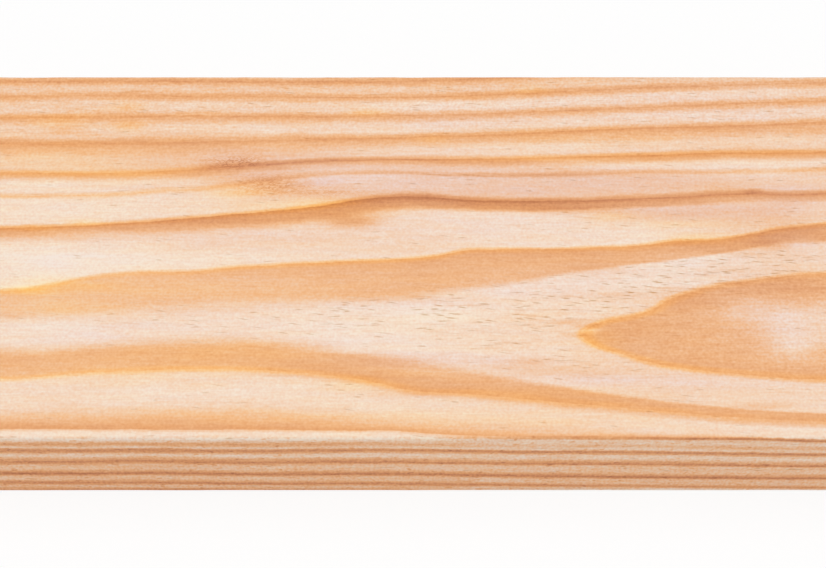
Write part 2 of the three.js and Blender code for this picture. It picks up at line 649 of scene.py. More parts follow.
def year_trait(years, trait, x, ring, turns, blend):
    """One trait of every point's year, handed over to the next year at the turn."""
    found = np.zeros_like(x)
    weight = np.zeros_like(x)
    for age in range(FIRST_YEAR, FIRST_YEAR + len(RING_RADII)):
        record = {**PLAIN_YEAR, **years.get(age, {})}
        into = np.clip((ring - (age - 1 + turns)) / blend, 0.0, 1.0)
        out = np.clip((ring - (age + turns)) / blend, 0.0, 1.0)
        share = into - out
        found += share * along_grain(record[trait], x)
        weight += share
    return found / np.maximum(weight, 1e-6)


far_side = np.clip(0.5 + aside / PITH_BLEND, 0.0, 1.0)
front = np.clip((-points[:, 1] - (WIDTH / 2 - ARRIS_RADIUS) / MM) / (ARRIS_RADIUS / MM), 0.0, 1.0)
traits = {}


def tell(name):
    """Print the range of a trait."""
    print(name, "from", round(traits[name].min(), 2), "to", round(traits[name].max(), 2))


for name in PLAIN_YEAR:
    when = EARLY_HANDS_OVER if name == "early" else YEAR_HANDS_OVER
    far = year_trait(FAR_YEARS, name, points[:, 0], ring, *when)
    near = year_trait(NEAR_YEARS, name, points[:, 0], ring, *when)
    edge = year_trait(EDGE_YEARS, name, points[:, 0], ring, *when)
    near = near * (1 - front) + edge * front
    traits[name] = far * far_side + near * (1 - far_side)
    tell(name)

# %% [markdown]
# ## Spots of their own
#
# Some marks belong to a place and not to a year: stain where a branch was overgrown, a
# paler or warmer field, and the short resin canals that show as tiny dashes where the
# cut runs nearly along them. A brush could paint them on. A list of soft spots does the
# same, and anybody can read it and change it. The spots were set one by one, from
# maps of where the tone or the tint still differed from a real plank's.
# On the front edge three spots are painted light: a paler strip under the upper rounding, a painted
# contact shadow along the bottom, and painted floor light on the lower rounding.

# %% Darker and paler spots
# place x, y, reach along, reach across, and how much darker
SHADE_SPOTS = (
    (53, 35, 18, 1.4, -0.16), (0, 59.5, 14, 0.9, -0.12), (51, 30.3, 12, 1.3, 0.13),
    (115, 40, 8, 1.5, 0.13), (80, 13, 20, 2.5, 0.12), (-60, 11, 20, 2, 0.07),
    (-102, 6, 14, 1.2, -0.14), (119, 1.3, 5, 1.9, 0.32), (109, -2, 7, 1.4, 0.13),
    (30, -44, 28, 2.5, 0.14), (8, -47, 14, 1.5, -0.14), (8, -40.5, 9, 1.5, 0.1),
    (-25, -38.5, 14, 1.2, -0.14), (-32, -44, 14, 2, 0.12), (-60, -48.5, 50, 2, 0.06),
    (-4, -54, 20, 2, 0.11), (110, -58.5, 10, 1, 0.2), (-80, -59, 24, 3, -0.07),
    (-46, 24.5, 13, 4, 0.27), (-27, 21.5, 14, 2, 0.09), (-64, 30, 14, 3.5, 0.16),
    (-60, 34.5, 10, 2, 0.14), (-20.5, 10.5, 9, 2.2, 0.48), (-80, 3, 60, 4, 0.06),
    (56, 15, 16, 1.5, 0.22), (90, 14.5, 30, 4, 0.14), (108, 25, 22, 3, 0.12),
    (20, 34, 26, 1.6, 0.12), (-95, 34, 34, 2, 0.08), (0, 22, 60, 1.6, 0.06),
    (-70, -3, 60, 3, -0.06), (-68, -34, 26, 3, 0.06), (-4, -19.5, 24, 1.6, 0.13),
    (62, -8.5, 12, 2, 0.12), (95, -3, 14, 1.6, -0.12), (66, -30, 12, 7, 0.07),
    (90, -19, 14, 4, 0.08), (120, -15, 14, 3, 0.1), (112, -23.5, 13, 5, -0.2),
    (118, -38, 10, 4, -0.08), (-97, 49, 4, 1.6, 0.16), (-97, 57, 4, 1.6, 0.12),
    (-120, 47, 5, 1.6, 0.14), (-40, 46, 3, 1.4, 0.18), (-48, 44, 12, 6, -0.07),
    (48, -47, 24, 2, 0.1), (5, -45, 16, 1.8, -0.12), (-60, 1, 60, 6, 0.03), (40, -30, 30, 6, 0.03),
    (57.5, -31, 2.2, 0.9, -0.32), (50, -28, 4, 0.7, 0.22), (57, -29.3, 4, 0.8, 0.3),
    (53, -32.8, 4, 0.8, 0.26), (114, 22.6, 2.5, 0.8, 0.28), (8, -26, 11, 4, -0.07),
    (106, -27, 15, 5, -0.09), (125, -40, 9, 5, -0.12), (-18, -48.5, 24, 2.5, 0.08),
    (-85, 45.6, 44, 1.2, 0.09), (-44, 37, 13, 1.2, 0.15), (18, 35.7, 24, 1, -0.11),
    (-20, 12.6, 11, 1.2, 0.15), (-98, 5.5, 32, 1.3, -0.08), (70, -18, 14, 2, 0.1),
    (37, -42.3, 6, 0.9, 0.18), (-15, 66.6, 60, 0.9, 0.08), (116, 64, 14, 3, -0.08),
)  # fmt: skip
print("darker and paler spots:", len(SHADE_SPOTS))

# %% Pinker and yellower spots
# place x, y, reach along, reach across, and how much pinker; below 0 it is yellower
BLUSH_SPOTS = (
    (-45, 34, 26, 4, 0.8), (-52, 28.5, 9, 2.5, 1), (0, 27, 50, 8, 1.1), (30, 22, 36, 2, 0.5),
    (75, 26, 40, 5, 1), (-62, 37, 14, 3, 0.6), (96, 15, 32, 3.5, 1.2), (126, 21, 12, 6, 1),
    (126, 3, 10, 5, 0.8), (25, 9, 50, 6, 0.35), (-60, 5, 50, 4, 0.35), (-115, -5, 16, 4, 0.4),
    (-50, -26, 66, 6, 0.55), (38, -16, 20, 3, 0.6), (60, -11, 26, 5, 0.4), (95, -5, 24, 4, 0.4),
    (110, -20, 26, 9, 0.5), (-105, -34, 24, 5, 0.5), (-30, -36, 26, 3, 0.7), (25, -43, 20, 3, 0.5),
    (80, -50, 40, 3, 0.6), (118, -31, 12, 7, 0.6), (95, 56, 50, 9, 0.5),
    (-110, -14, 20, 2.5, -1.2), (-105, -23, 18, 2.5, -0.7), (93, 4.5, 9, 1.5, -1.3),
    (0, -46, 22, 3, -0.6), (-124, -16.5, 9, 1.8, -1.4), (-70, -17, 60, 4, -0.6),
    (-118, -22, 16, 4, -0.5), (-70, -40, 55, 5, -0.9), (-100, -47, 40, 3, -0.6),
    (-19, -51, 11, 2.5, -1), (45, -53, 36, 4, -0.6), (-60, -62, 70, 3.5, -0.5),
    (20, -64, 60, 4, -0.5), (60, -34, 6, 4, -1), (-120, 36, 22, 6, -0.8), (-98, 29, 30, 2.5, -0.8),
    (-60, 22, 10, 2.5, -1.2), (-35, 15.5, 28, 4, -1), (-50, 24.5, 10, 3, -0.8),
    (-28, 18, 14, 2, -0.9), (34, 16.5, 20, 2, -0.6), (66, 12.5, 8, 1.6, -1.2),
    (-109, 10, 6, 1.5, -1.2), (-124, 7.5, 8, 1.5, -1), (50, 45, 50, 4, -0.5),
    (60, 35, 60, 2, -0.4), (-120, 51, 12, 3, -0.8), (-97, 49, 5, 2, -1.2), (-97, 57, 5, 2, -0.8),
    (-16, 54.5, 6, 1.5, -1.2), (7, 44, 5, 2, -1), (41, 64, 6, 2, -1), (-2, -42, 20, 3.5, 1),
    (50, -49, 30, 3, 0.5), (-33, 26, 9, 2, 0.9), (15, 51, 24, 6, 0.5), (-30, -26, 80, 4, -0.4),
    (85, 9.8, 18, 1.7, -0.8), (-2, -22, 24, 2.5, 0.5), (-50, -37, 20, 3, -0.6),
)  # fmt: skip
print("pinker and yellower spots:", len(BLUSH_SPOTS))

# %% Resin canals and curly fibres, and the front edge's spots of tone and painted light
# place x, y, reach along, reach across, and how crowded the resin canals are
FLECK_SPOTS = (
    (28, -24, 50, 10, 0.68), (92, -11, 34, 8, 1.12), (118, -4, 16, 5, 0.6), (50, -43, 12, 3, 0.6),
    (-65, -27, 60, 5, 0.26), (20, -36, 34, 4, 0.16), (-15, -21, 30, 4, 0.35),
    (-83, 22, 12, 3, 0.3), (60, 10, 50, 4, 0.15), (20, -58, 60, 4, 0.12), (0, 42, 120, 3, 0.12),
    (0, 58, 140, 11, 0.22), (20, 27, 60, 4, 0.15),
)  # fmt: skip
# the same, and how wildly the fibres curl
CURL_SPOTS = (
    (-60, 34.5, 9, 2.2, 1.3), (-48, 25, 11, 3.6, 0.85), (-28, 22.5, 12, 2.2, 0.5),
)  # fmt: skip
# places on the front edge, as the pushes there, and how much darker
# the first is painted light: a paler strip under the upper rounding, carrying the wide
# face's light further down; the second is a dark ring line; the third is a painted contact
# shadow along the bottom; the fourth is painted floor light reflected onto the lower rounding
EDGE_TONE_AND_PAINTED_LIGHT = (
    (-70, 37.2, 110, 0.7, -0.25), (84, 37.6, 14, 1.3, 0.17), (-90, 0, 100, 0.9, 0.5),
    (72, 0.4, 66, 1, -0.38),
)  # fmt: skip
print("spots of resin canals:", len(FLECK_SPOTS), "and of curly fibres:", len(CURL_SPOTS))

# %% Add the spots up at every point
FLECKS_EVERYWHERE = 0.15


def painted(spots, p):
    """The sum of all the spots of one kind, at each point."""
    total = np.zeros(len(p))
    for x, y, reach_x, reach_y, amount in spots:
        total += amount * soft_spot(p, x, y, reach_x, reach_y)
    return total


traits["tone_and_painted_light"] = painted(SHADE_SPOTS, points)
# the front edge's spots, painted light and a painted contact shadow among them, go into the same trait
for x, height, reach_x, reach_z, amount in EDGE_TONE_AND_PAINTED_LIGHT:
    traits["tone_and_painted_light"] += amount * front_spot(points, x, height, reach_x, reach_z)
traits["blush"] = painted(BLUSH_SPOTS, points)
traits["flecks"] = FLECKS_EVERYWHERE + painted(FLECK_SPOTS, points)
traits["curl"] = painted(CURL_SPOTS, points)
for name in ("tone_and_painted_light", "blush", "flecks", "curl"):
    tell(name)

# %% [markdown]
# ## Traits of a whole region
#
# Fibres show most where they are cut across, which is on the two edges, toward the far
# side of the face and in the coarse young wood beside the pith. The pushes shape
# the middle stretch, and a free waviness takes over past it. Rays run out from the pith,
# so a sawn end needs the distance from it and the distance round it. Masks could be painted
# for all of this. Worked out from the place of each point, they follow the plank's sizes.

# %% Edges, far side, young wood, and the places round the pith
# how boldly the fibres show, and how much more of it each region has
PLAIN_ROUGH = 0.96
EDGE_ROUGH = 0.7
FAR_ROUGH = 0.45
FAR_FROM = 35.0
FAR_OVER = 20.0
YOUNG_ROUGH = 0.30
YOUNG_FADES = 3.0
LEAST_WANDER = 0.25
WANDER_FROM = 190.0
RAY_RADIUS = 60.0
side = np.abs(points[:, 1]) - (WIDTH / 2 - ARRIS_RADIUS) / MM
traits["edge"] = np.clip(side / (ARRIS_RADIUS / MM), 0.0, 1.0)
to_far = np.clip((points[:, 1] - FAR_FROM) / FAR_OVER, 0.0, 1.0)
young = np.clip(0.5 - YOUNG_FADES * ring, 0.0, 1.0)
traits["rough"] = PLAIN_ROUGH + EDGE_ROUGH * traits["edge"] + FAR_ROUGH * to_far + YOUNG_ROUGH * young
traits["wander"] = LEAST_WANDER + (1 - LEAST_WANDER) * outside(points[:, 0], WANDER_FROM)
traits["ring"] = ring - FIRST_YEAR
traits["around"] = np.arctan2(aside, below) * RAY_RADIUS
traits["out"] = np.hypot(aside, below)
# 1 on the rounded long edges, where handling dents and rubs the wood
to_side = WIDTH / MM / 2 - np.abs(points[:, 1])
to_face = THICKNESS / MM / 2 - np.abs(points[:, 2] - TOP / 2)
rounding = np.where(points[:, 2] < TOP / 2, LOWER_ARRIS_RADIUS, ARRIS_RADIUS) / MM
traits["arris"] = np.clip(2.0 - 2.0 * np.maximum(to_side, to_face) / rounding, 0.0, 1.0)
for name in ("edge", "rough", "wander", "ring", "around", "out", "arris"):
    tell(name)

# %% [markdown]
# ## How wide a year looks
#
# A face that meets the rings at a slant draws the same year wider. Marks with a size of
# their own, such as the fraying of a line, have to know this width, or they would stretch
# with it. The ring number a little to each side of a point gives its slope, and the part of
# the slope that lies in the face gives the width.

# %% Measure the width of a year on the face
PROBE = 0.2


def millimetres_a_year(p, normals):
    """How wide a year looks on the face itself, which meets it at a slant."""
    slope = np.empty_like(p)
    for axis in range(3):
        shift = np.zeros(3)
        shift[axis] = PROBE
        slope[:, axis] = (ring_number(p + shift)[0] - ring_number(p - shift)[0]) / (2 * PROBE)
    slope -= normals * np.sum(slope * normals, axis=1)[:, None]
    return 1.0 / np.maximum(np.linalg.norm(slope, axis=1), 0.01)


traits["spread"] = millimetres_a_year(points, read_all(plank.data.vertices, "normal"))
tell("spread")

# %% [markdown]
# ## From the points to the material
#
# A material can't run this model, but it can read numbers that are stored on the mesh. A
# colour attribute would carry three of them, rounded. A named attribute for each trait
# keeps its full range, and the material asks for it by name.

# %% Write every trait onto the plank's points
for name, values in traits.items():
    layer = plank.data.attributes.new(name, "FLOAT", "POINT")
    layer.data.foreach_set("value", values.astype(np.float32))
print("traits on the mesh:", sorted(traits))

# %% [markdown]
# ## Relief
#
# A planer leaves wood nearly flat, but not quite: the soft early wood springs and dries
# back a few hundredths of a millimetre, so the hard late wood stands up along it in low
# ridges. The long edges are struck when timber is stacked, and keep small flats and
# dents. Both are real shape and not only a pattern of light. A Displace modifier makes
# each one, and a vertex group says how much of the push every point takes. Both push
# inwards, so the plank never grows past its measures.

# %% Let the soft wood sink and dent the long edges
SOFT_WOOD_SINKS = 0.05 * MM
DENT_DEPTH = 0.18 * MM
DENT_SIZE = 16.0 * MM
WEIGHT_STEPS = 40


def weigh(name, weights):
    """A vertex group with one weight for each point."""
    group = plank.vertex_groups.new(name=name)
    steps = np.round(np.clip(weights, 0.0, 1.0) * WEIGHT_STEPS).astype(int)
    for step in range(1, WEIGHT_STEPS + 1):
        group.add(np.flatnonzero(steps == step).tolist(), step / WEIGHT_STEPS, "REPLACE")
    return name


def push_in(name, depth, group, texture=None):
    """Push the points of a group inwards, through an optional pattern."""
    displace = plank.modifiers.new(name, "DISPLACE")
    displace.direction = "NORMAL"
    displace.mid_level = 0.0
    displace.strength = -depth
    displace.vertex_group = group
    if texture:
        displace.texture = texture
        displace.texture_coords = "LOCAL"
    bpy.ops.object.modifier_apply(modifier=name)


season_here = np.mod(ring, 1.0)
late_here = np.clip((season_here - traits["start"] + traits["soft"]) / (2 * traits["soft"]), 0.0, 1.0)
off_the_end = np.clip((LENGTH / MM / 2 - np.abs(points[:, 0])) / (END_STRIP / MM) - 1.0, 0.0, 1.0)
dents = bpy.data.textures.new("dents", "CLOUDS")
dents.noise_scale = DENT_SIZE
dents.noise_depth = 2
dents.contrast = 2.5
dents.intensity = 0.75
dents.use_clamp = True
push_in("soft_wood", SOFT_WOOD_SINKS, weigh("early_wood", (1 - late_here) * off_the_end))
push_in("dents", DENT_DEPTH, weigh("long_edges", traits["arris"] * off_the_end), dents)
print("plank after the relief", tuple(round(v / MM, 2) for v in plank.dimensions), "mm")

# %% [markdown]
# ## Shading
#
# Flat shading would show every strip of the rounded edges as a facet, and smooth shading
# would smear light round the corners of the ends. Shade Smooth by Angle tells them apart:
# faces that meet at less than thirty degrees are one surface.

# %% Smooth the rounded edges and keep the corners crisp
SMOOTH_UP_TO = math.radians(30)
bpy.ops.object.shade_smooth_by_angle(angle=SMOOTH_UP_TO)
print("smooth faces:", sum(face.use_smooth for face in plank.data.polygons))

# %% [markdown]
# ## Unrolling the plank
#
# A plank is thirteen times as long as it is wide, and its pattern is fine across the
# grain and slow along it. An even unwrapping would spend a square picture on the length
# and leave the stripes blurred. So the four long faces are laid one above the other,
# each stretched over the whole width of the map, and both sawn ends share one more row.

# %% Lay the faces out in rows
MAP_GAP = 0.006
FACES_THE_END = 0.7
rows = (WIDTH, THICKNESS, WIDTH, THICKNESS, THICKNESS)
row_scale = (1.0 - MAP_GAP * (len(rows) + 1)) / sum(rows)
mesh = plank.data
face_corners = read_all(mesh.polygons, "loop_total", np.int64)
facing = np.repeat(read_all(mesh.polygons, "normal"), face_corners, axis=0)
corners = points[read_all(mesh.loops, "vertex_index", np.int64)] * MM
along = (corners[:, 0] - low[0]) / LENGTH
up_end = np.abs(facing[:, 0]) > FACES_THE_END
turned = np.abs(facing[:, 1]) > np.abs(facing[:, 2])
across = (
    (~turned & (facing[:, 2] > 0), corners[:, 1] - low[1]),
    (turned & (facing[:, 1] < 0), corners[:, 2] - low[2]),
    (~turned & (facing[:, 2] < 0), high[1] - corners[:, 1]),
    (turned & (facing[:, 1] > 0), high[2] - corners[:, 2]),
    (up_end, corners[:, 2] - low[2]),
)
end_side = np.sign(facing[:, 0])
end_along = 0.5 * (corners[:, 1] * end_side - low[1]) / WIDTH
map_u = np.where(up_end, end_along + np.where(end_side > 0, 0.5, 0.0), along)
map_u = MAP_GAP + (1.0 - 2 * MAP_GAP) * map_u
map_v = np.zeros(len(corners))
row_start = MAP_GAP
for (chosen, rise), height in zip(across, rows, strict=True):
    map_v = np.where(chosen, row_start + rise * row_scale, map_v)
    row_start += height * row_scale + MAP_GAP
unrolled = mesh.uv_layers.new(name="OFBake")
unrolled.uv.foreach_set("vector", np.stack((map_u, map_v), 1).ravel().astype(np.float32))
print("map across", map_u.min().round(3), map_u.max().round(3))
print("map up", map_v.min().round(3), map_v.max().round(3))

# %% [markdown]
# ## The wood
#
# One material covers the whole plank. It reads the traits from the mesh, works out a tone
# between 0 and 1 at every point, and turns the tone into a colour at the end. All fine
# patterns are noise in the plank's own space, stretched along the grain, so they pass
# round the corners as real fibres do and never slide. A few small helpers keep the many
# nodes readable.

# %% Small helpers for building a material
wood = bpy.data.materials.new("planed_pine")
wood.use_nodes = True
tree = wood.node_tree
tree.nodes.clear()
place = add_node(tree, "TexCoord", {}).outputs["Object"]
where = add_node(tree, "SeparateXYZ", {"Vector": place}).outputs


def trait_of(name):
    """The node output that reads one trait from the mesh."""
    return add_node(tree, "Attribute", {}, attribute_name=name).outputs["Fac"]


def sums(operation, first, second=0.0, clamp=False):
    """One step of arithmetic."""
    node = add_node(tree, "Math", {0: first, 1: second}, operation=operation, use_clamp=clamp)
    return node.outputs["Value"]


def plus(first, *others):
    """All the values added up."""
    for other in others:
        first = sums("ADD", first, other)
    return first


def times(first, *others):
    """All the values multiplied."""
    for other in others:
        first = sums("MULTIPLY", first, other)
    return first


def minus(first, second):
    """The second value taken from the first."""
    return sums("SUBTRACT", first, second)


def between(value, low_end, high_end, to_low=0.0, to_high=1.0, kind="SMOOTHSTEP"):
    """Map a value from one range to another."""
    ends = {"From Min": low_end, "From Max": high_end, "To Min": to_low, "To Max": to_high}
    node = add_node(tree, "MapRange", {"Value": value, **ends}, interpolation_type=kind)
    return node.outputs["Result"]


def faded(value, reach):
    """1 where the value is 0, fading to 0 where it comes to the reach."""
    return between(value, 0.0, reach, 1.0, 0.0)


def blend(share, first, second):
    """Mix two numbers."""
    return add_node(tree, "Mix", {0: share, 2: first, 3: second}, data_type="FLOAT").outputs[0]


print("nodes to start with:", len(tree.nodes))

# %% [markdown]
# ## Noise along the fibres
#
# Noise comes in round blots. Scaled down along the plank and up across it, the blots become
# streaks that run with the fibres, as long and as wide as is wanted. A Wave texture would
# make stripes too, but all of them alike. Every pattern is moved by a number of its own,
# or they would all be the same one.

# %% Helpers for patterns
# how much taller than wide a streak is, and what parts of its own move go across and up
TALLER = 1.5
MOVE_Y = 0.7
MOVE_Z = 1.3


def bundle(x, y, z=0.0):
    """Three numbers as one vector."""
    return add_node(tree, "CombineXYZ", {"X": x, "Y": y, "Z": z}).outputs["Vector"]


def moved(vector, move=(0.0, 0.0, 0.0), turn=0.0, scale=(1.0, 1.0, 1.0)):
    """A vector scaled, turned about the vertical and moved."""
    inputs = {"Vector": vector, "Location": move, "Rotation": (0.0, 0.0, turn), "Scale": scale}
    return add_node(tree, "Mapping", inputs).outputs["Vector"]


def noise_at(vector, detail=2.0, roughness=0.5):
    """Noise about zero."""
    inputs = {"Vector": vector, "Scale": 1.0, "Detail": detail, "Roughness": roughness}
    return minus(add_node(tree, "TexNoise", inputs).outputs["Fac"], 0.5)


def per_fibre(length, width):
    """The scale at which one streak is one unit: its length and width in mm, taller on the edges."""
    return (1.0 / (length * MM), 1.0 / (width * MM), 1.0 / (TALLER * width * MM))


def grain(length, width, move, detail=2.0, roughness=0.5, turn=0.0):
    """Noise stretched along the fibres; length and width of a typical streak in mm."""
    heading = moved(place, turn=turn)
    away = (move, move * MOVE_Y, move * MOVE_Z)
    return noise_at(moved(heading, away, 0.0, per_fibre(length, width)), detail, roughness)


print("one streak of 13 x 0.7 mm is scaled by", tuple(round(v) for v in per_fibre(13.0, 0.7)))

# %% [markdown]
# ## The time of year
#
# The ring number on the mesh is smooth, and real ring lines aren't: they fray from one
# fibre to the next. A finer mesh could carry that, but noise in the material is finer still
# and costs nothing. It is set in millimetres and divided by the width of the year, so that
# wide and narrow years fray alike. The fraction of the ring number is the time of year.

# %% The time of year at every point
SLOW_WAVE = 0.12
COARSE_FRAY = 0.55
FINE_FRAY = 0.45
slow_wave = times(grain(38.0, 7.0, 3.0, detail=1.0), SLOW_WAVE, trait_of("wander"))
spread = trait_of("spread")
# the line frays by a part of a millimetre, however wide the year is
fray = times(grain(9.0, 2.2, 7.0, detail=1.0), COARSE_FRAY)
fray = plus(fray, times(grain(3.5, 0.5, 11.0, detail=1.0), FINE_FRAY))
years = plus(trait_of("ring"), slow_wave, sums("DIVIDE", fray, spread))
season = sums("FRACT", years)
print("nodes for the time of year:", len(tree.nodes))

# %% [markdown]
# ## Early and late wood
#
# Through a year the tone stays pale, climbs in the late wood, and drops back at the outer
# line, with a little glow past it. A colour ramp over the year could draw one such year.
# Here every year has its own marks, so Map Range nodes do the steps, and the traits are
# their limits. The last part of the climb is smoothed over half a millimetre, because no
# cut shows a line sharper than its cells.

# %% Tone of the early and the late wood
# BRINK is in millimetres before the line, and FALSE_WIDTH is a part of the year
BRINK = 0.45
FALSE_WIDTH = 0.20
GROWTH_POWER = 2.5
early = trait_of("early")
line = trait_of("line")
glow = trait_of("glow")
start = trait_of("start")
soft = trait_of("soft")
past_line = times(season, spread)
before_line = times(minus(1.0, season), spread)
spill = times(faded(past_line, trait_of("reach")), glow)
early_tone = blend(spill, early, line)
growth = sums("DIVIDE", minus(season, start), minus(1.0, start), clamp=True)
late_tone = blend(sums("POWER", growth, GROWTH_POWER), trait_of("late"), line)
false_reach = sums("ABSOLUTE", minus(season, trait_of("false_at")))
early_tone = plus(early_tone, times(faded(false_reach, FALSE_WIDTH), trait_of("false")))
is_late = between(season, minus(start, soft), plus(start, soft))
tone = blend(is_late, early_tone, late_tone)
tone = blend(faded(before_line, BRINK), tone, blend(glow, early, line))
print("nodes for the tone:", len(tree.nodes))

# %% [markdown]
# ## The golden rim
#
# Resin gathers along the outer line of a year and turns the wood golden there. The rim is
# measured in millimetres on both sides of the line, so it keeps its width where the years
# open into arches. Faint yellow clouds lie over all of the wood.

# %% The resin-rich rim along each line
# the rim ends this many millimetres past the line, and is full in this part of its width
RIM_OUTSIDE = 1.3
RIM_CORE = 0.3
GOLD_CLOUDS = 1.5
GOLD_EVERYWHERE = 0.06
rim_width = trait_of("rim")
rim_before = between(before_line, times(rim_width, RIM_CORE), rim_width, 1.0, 0.0)
rim = sums("MAXIMUM", rim_before, faded(past_line, RIM_OUTSIDE))
golden = times(rim, trait_of("gold"))
golden = plus(golden, times(grain(16.0, 2.2, 41.0), GOLD_CLOUDS), GOLD_EVERYWHERE)
print("nodes with the rim:", len(tree.nodes))

# %% [markdown]
# ## Fibres
#
# A planed face shows its fibres as faint streaks, a few millimetres long and less than one
# wide. One noise, stretched along the plank, would look like brushed metal, because all its
# streaks are alike. Three sizes together look like wood, with wide soft clouds under them.
# The same streaks stand up in the fine relief further on.

# %% Fibres, speckle and clouds of tone
# length and width of a streak in mm, move, detail and roughness of the noise, and strength
STREAKS = (
    (13.0, 0.70, 5.0, 2.0, 0.55, 0.22),
    (2.6, 0.80, 9.0, 1.0, 0.50, 0.18),
    (0.85, 0.85, 15.0, 0.0, 0.50, 0.22),
)
CLOUDS = 0.11
BROAD_CLOUDS = 0.22
edge = trait_of("edge")
streaks = [times(grain(*size), strength) for *size, strength in STREAKS]
texture = times(plus(*streaks), trait_of("rough"))
clouds = times(grain(34.0, 3.5, 21.0), CLOUDS)
broad = times(grain(190.0, 16.0, 23.0, detail=1.0), BROAD_CLOUDS, trait_of("wander"))
# the spots' trait darkens and lightens the tone, and on the front edge it adds painted light and a
# painted contact shadow
tone = plus(tone, plus(texture, clouds), broad, trait_of("tone_and_painted_light"))
print("nodes with the fibres:", len(tree.nodes))

# %% [markdown]
# ## Wear
#
# The knives tear short pits where they meet the fibres squarely, which is mostly on the two
# edges. The rounded long edges are what hands and other planks rub, so they are darker in
# some places and paler in others. Only the peaks of a noise make a pit, and a trait keeps
# the rubbing on the rounding.

# %% Short dark pits, mostly on the edge, and rubbed long edges
PIT_FROM = 0.13
PIT_FULL = 0.24
FACE_PITS = 0.05
EDGE_PITS = 0.22
RUBBING = 0.7
pits = between(grain(2.6, 0.8, 61.0, detail=1.0), PIT_FROM, PIT_FULL)
pits = times(pits, plus(FACE_PITS, times(edge, EDGE_PITS)))
rubbed = times(grain(22.0, 3.0, 51.0, roughness=0.6), trait_of("arris"), RUBBING)
tone = plus(tone, pits, rubbed)
print("nodes with the wear:", len(tree.nodes))

# %% [markdown]
# ## Curly grain
#
# Over a branch that the tree has swallowed, the fibres turn every way and the knives cut
# them at all slants, which shows as a scribble of short dark lines. Noise has thin curly
# lines where it passes through zero. Two such patterns, turned a little to either side,
# cross each other as the real ones do.

# %% Curly grain about the overgrown branch
CURL_LINE = 0.050
CURL_DARKENS = 0.42
one_way = sums("ABSOLUTE", grain(4.5, 1.0, 31.0, roughness=0.6, turn=0.30))
other_way = sums("ABSOLUTE", grain(4.0, 1.2, 37.0, roughness=0.6, turn=-0.25))
scribble = faded(sums("MINIMUM", one_way, other_way), CURL_LINE)
tone = plus(tone, times(scribble, trait_of("curl"), CURL_DARKENS))
print("nodes with the curly grain:", len(tree.nodes))

# %% [markdown]
# ## Resin canals
#
# Pine is full of fine tubes of resin that run up the tree. Where the cut follows them they
# show as short amber dashes, few in one place and crowded in another. Noise can't keep them
# apart, so each dash gets a cell of a stretched Voronoi pattern. The cell's random colour
# decides whether it has a dash at all and how dark it is. Four sizes are laid together.

# %% Resin canals
CANAL_SLANT = 0.05
STAGGER = 3.2
ROW_SCALE = (0.0, 0.9, 0.9)
# a dash is full at its core and gone at its rim, both as parts of a cell
DASH_CORE = 0.08
DASH_RIM = 0.42
# how far the share of kept cells has to pass a cell's chance before its dash is whole
KEPT_OVER = 0.12
# this power of the chance makes most dashes faint, and some are stronger where they crowd
MOSTLY_FAINT = 2.0
LONE_CANAL = 0.65
CROWDED_CANAL = 1.25
EDGE_FLECKS = 0.16
flecks = plus(trait_of("flecks"), times(edge, EDGE_FLECKS))


def canals(length, width, move, crowding, faintest, darkest):
    """Thin dashes, at most one in each cell of a stretched pattern."""
    heading = moved(place, turn=CANAL_SLANT)
    squeeze = moved(heading, (move, move, move), 0.0, per_fibre(length, width))
    # each row of cells slides along by its own amount, so the dashes don't line up
    row = moved(squeeze, (move, 0.0, 0.0), 0.0, ROW_SCALE)
    slide = bundle(times(noise_at(row, 0.0), STAGGER), 0.0)
    staggered = add_node(tree, "VectorMath", {0: squeeze, 1: slide}, operation="ADD")
    cells = add_node(tree, "TexVoronoi", {"Vector": staggered.outputs["Vector"], "Scale": 1.0}).outputs
    chance = add_node(tree, "SeparateColor", {"Color": cells["Color"]}).outputs
    dash = between(cells["Distance"], DASH_CORE, DASH_RIM, 1.0, 0.0)
    kept = between(minus(times(flecks, crowding), chance["Red"]), 0.0, KEPT_OVER)
    # where they crowd they are also cut more squarely, and show darker
    kept = times(kept, between(flecks, 0.0, 1.0, LONE_CANAL, CROWDED_CANAL, "LINEAR"))
    bold = sums("POWER", chance["Blue"], MOSTLY_FAINT)
    return times(dash, kept, between(bold, 0.0, 1.0, faintest, darkest, "LINEAR"))


HIDDEN_IN_LATE = 0.6
DUCT_SHADE = 1.5
# length and width in mm, move, share of the cells, and the strength of faint and dark ones
hairlines = canals(4.4, 0.95, 0.3, 1.3, 0.04, 0.40)
dashes = canals(7.0, 1.20, 2.1, 0.7, 0.05, 0.48)
threads = canals(14.0, 0.85, 8.7, 0.9, 0.03, 0.20)
ducts = canals(17.0, 1.9, 5.3, 0.55, 0.03, 0.12)
# dark late wood hides most of a canal
shown = minus(1.0, times(is_late, HIDDEN_IN_LATE))
canal = times(plus(plus(hairlines, dashes), plus(threads, ducts)), shown)
tone = plus(tone, times(ducts, DUCT_SHADE))
print("nodes with the canals:", len(tree.nodes))

# %% [markdown]
# ## The sawn ends
#
# An end shows the wood across its fibres. The open cells swallow light, so it is darker,
# and the rings come out as arcs about the pith. Fine rays point away from the pith, a round
# saw has left its own wide arcs, and drying has opened a few short checks along the rays.
# A second material could do this, but then the rings would need care to meet at the
# corner. Here the same tone carries on and is only mixed with the marks of the end.

# %% Patterns round the pith: rays and checks
# width round the pith and reach away from it, in millimetres
RAY_SIZE = (0.5, 7.0)
CHECK_SIZE = (6.0, 60.0)
CHECK_PATCH_SIZE = (11.0, 9.0)
CHECK_PATCH_MOVE = 4.0
CHECK_LINE = 0.02
CHECK_FROM = 0.06
CHECK_FULL = 0.14
around = trait_of("around")
out = trait_of("out")


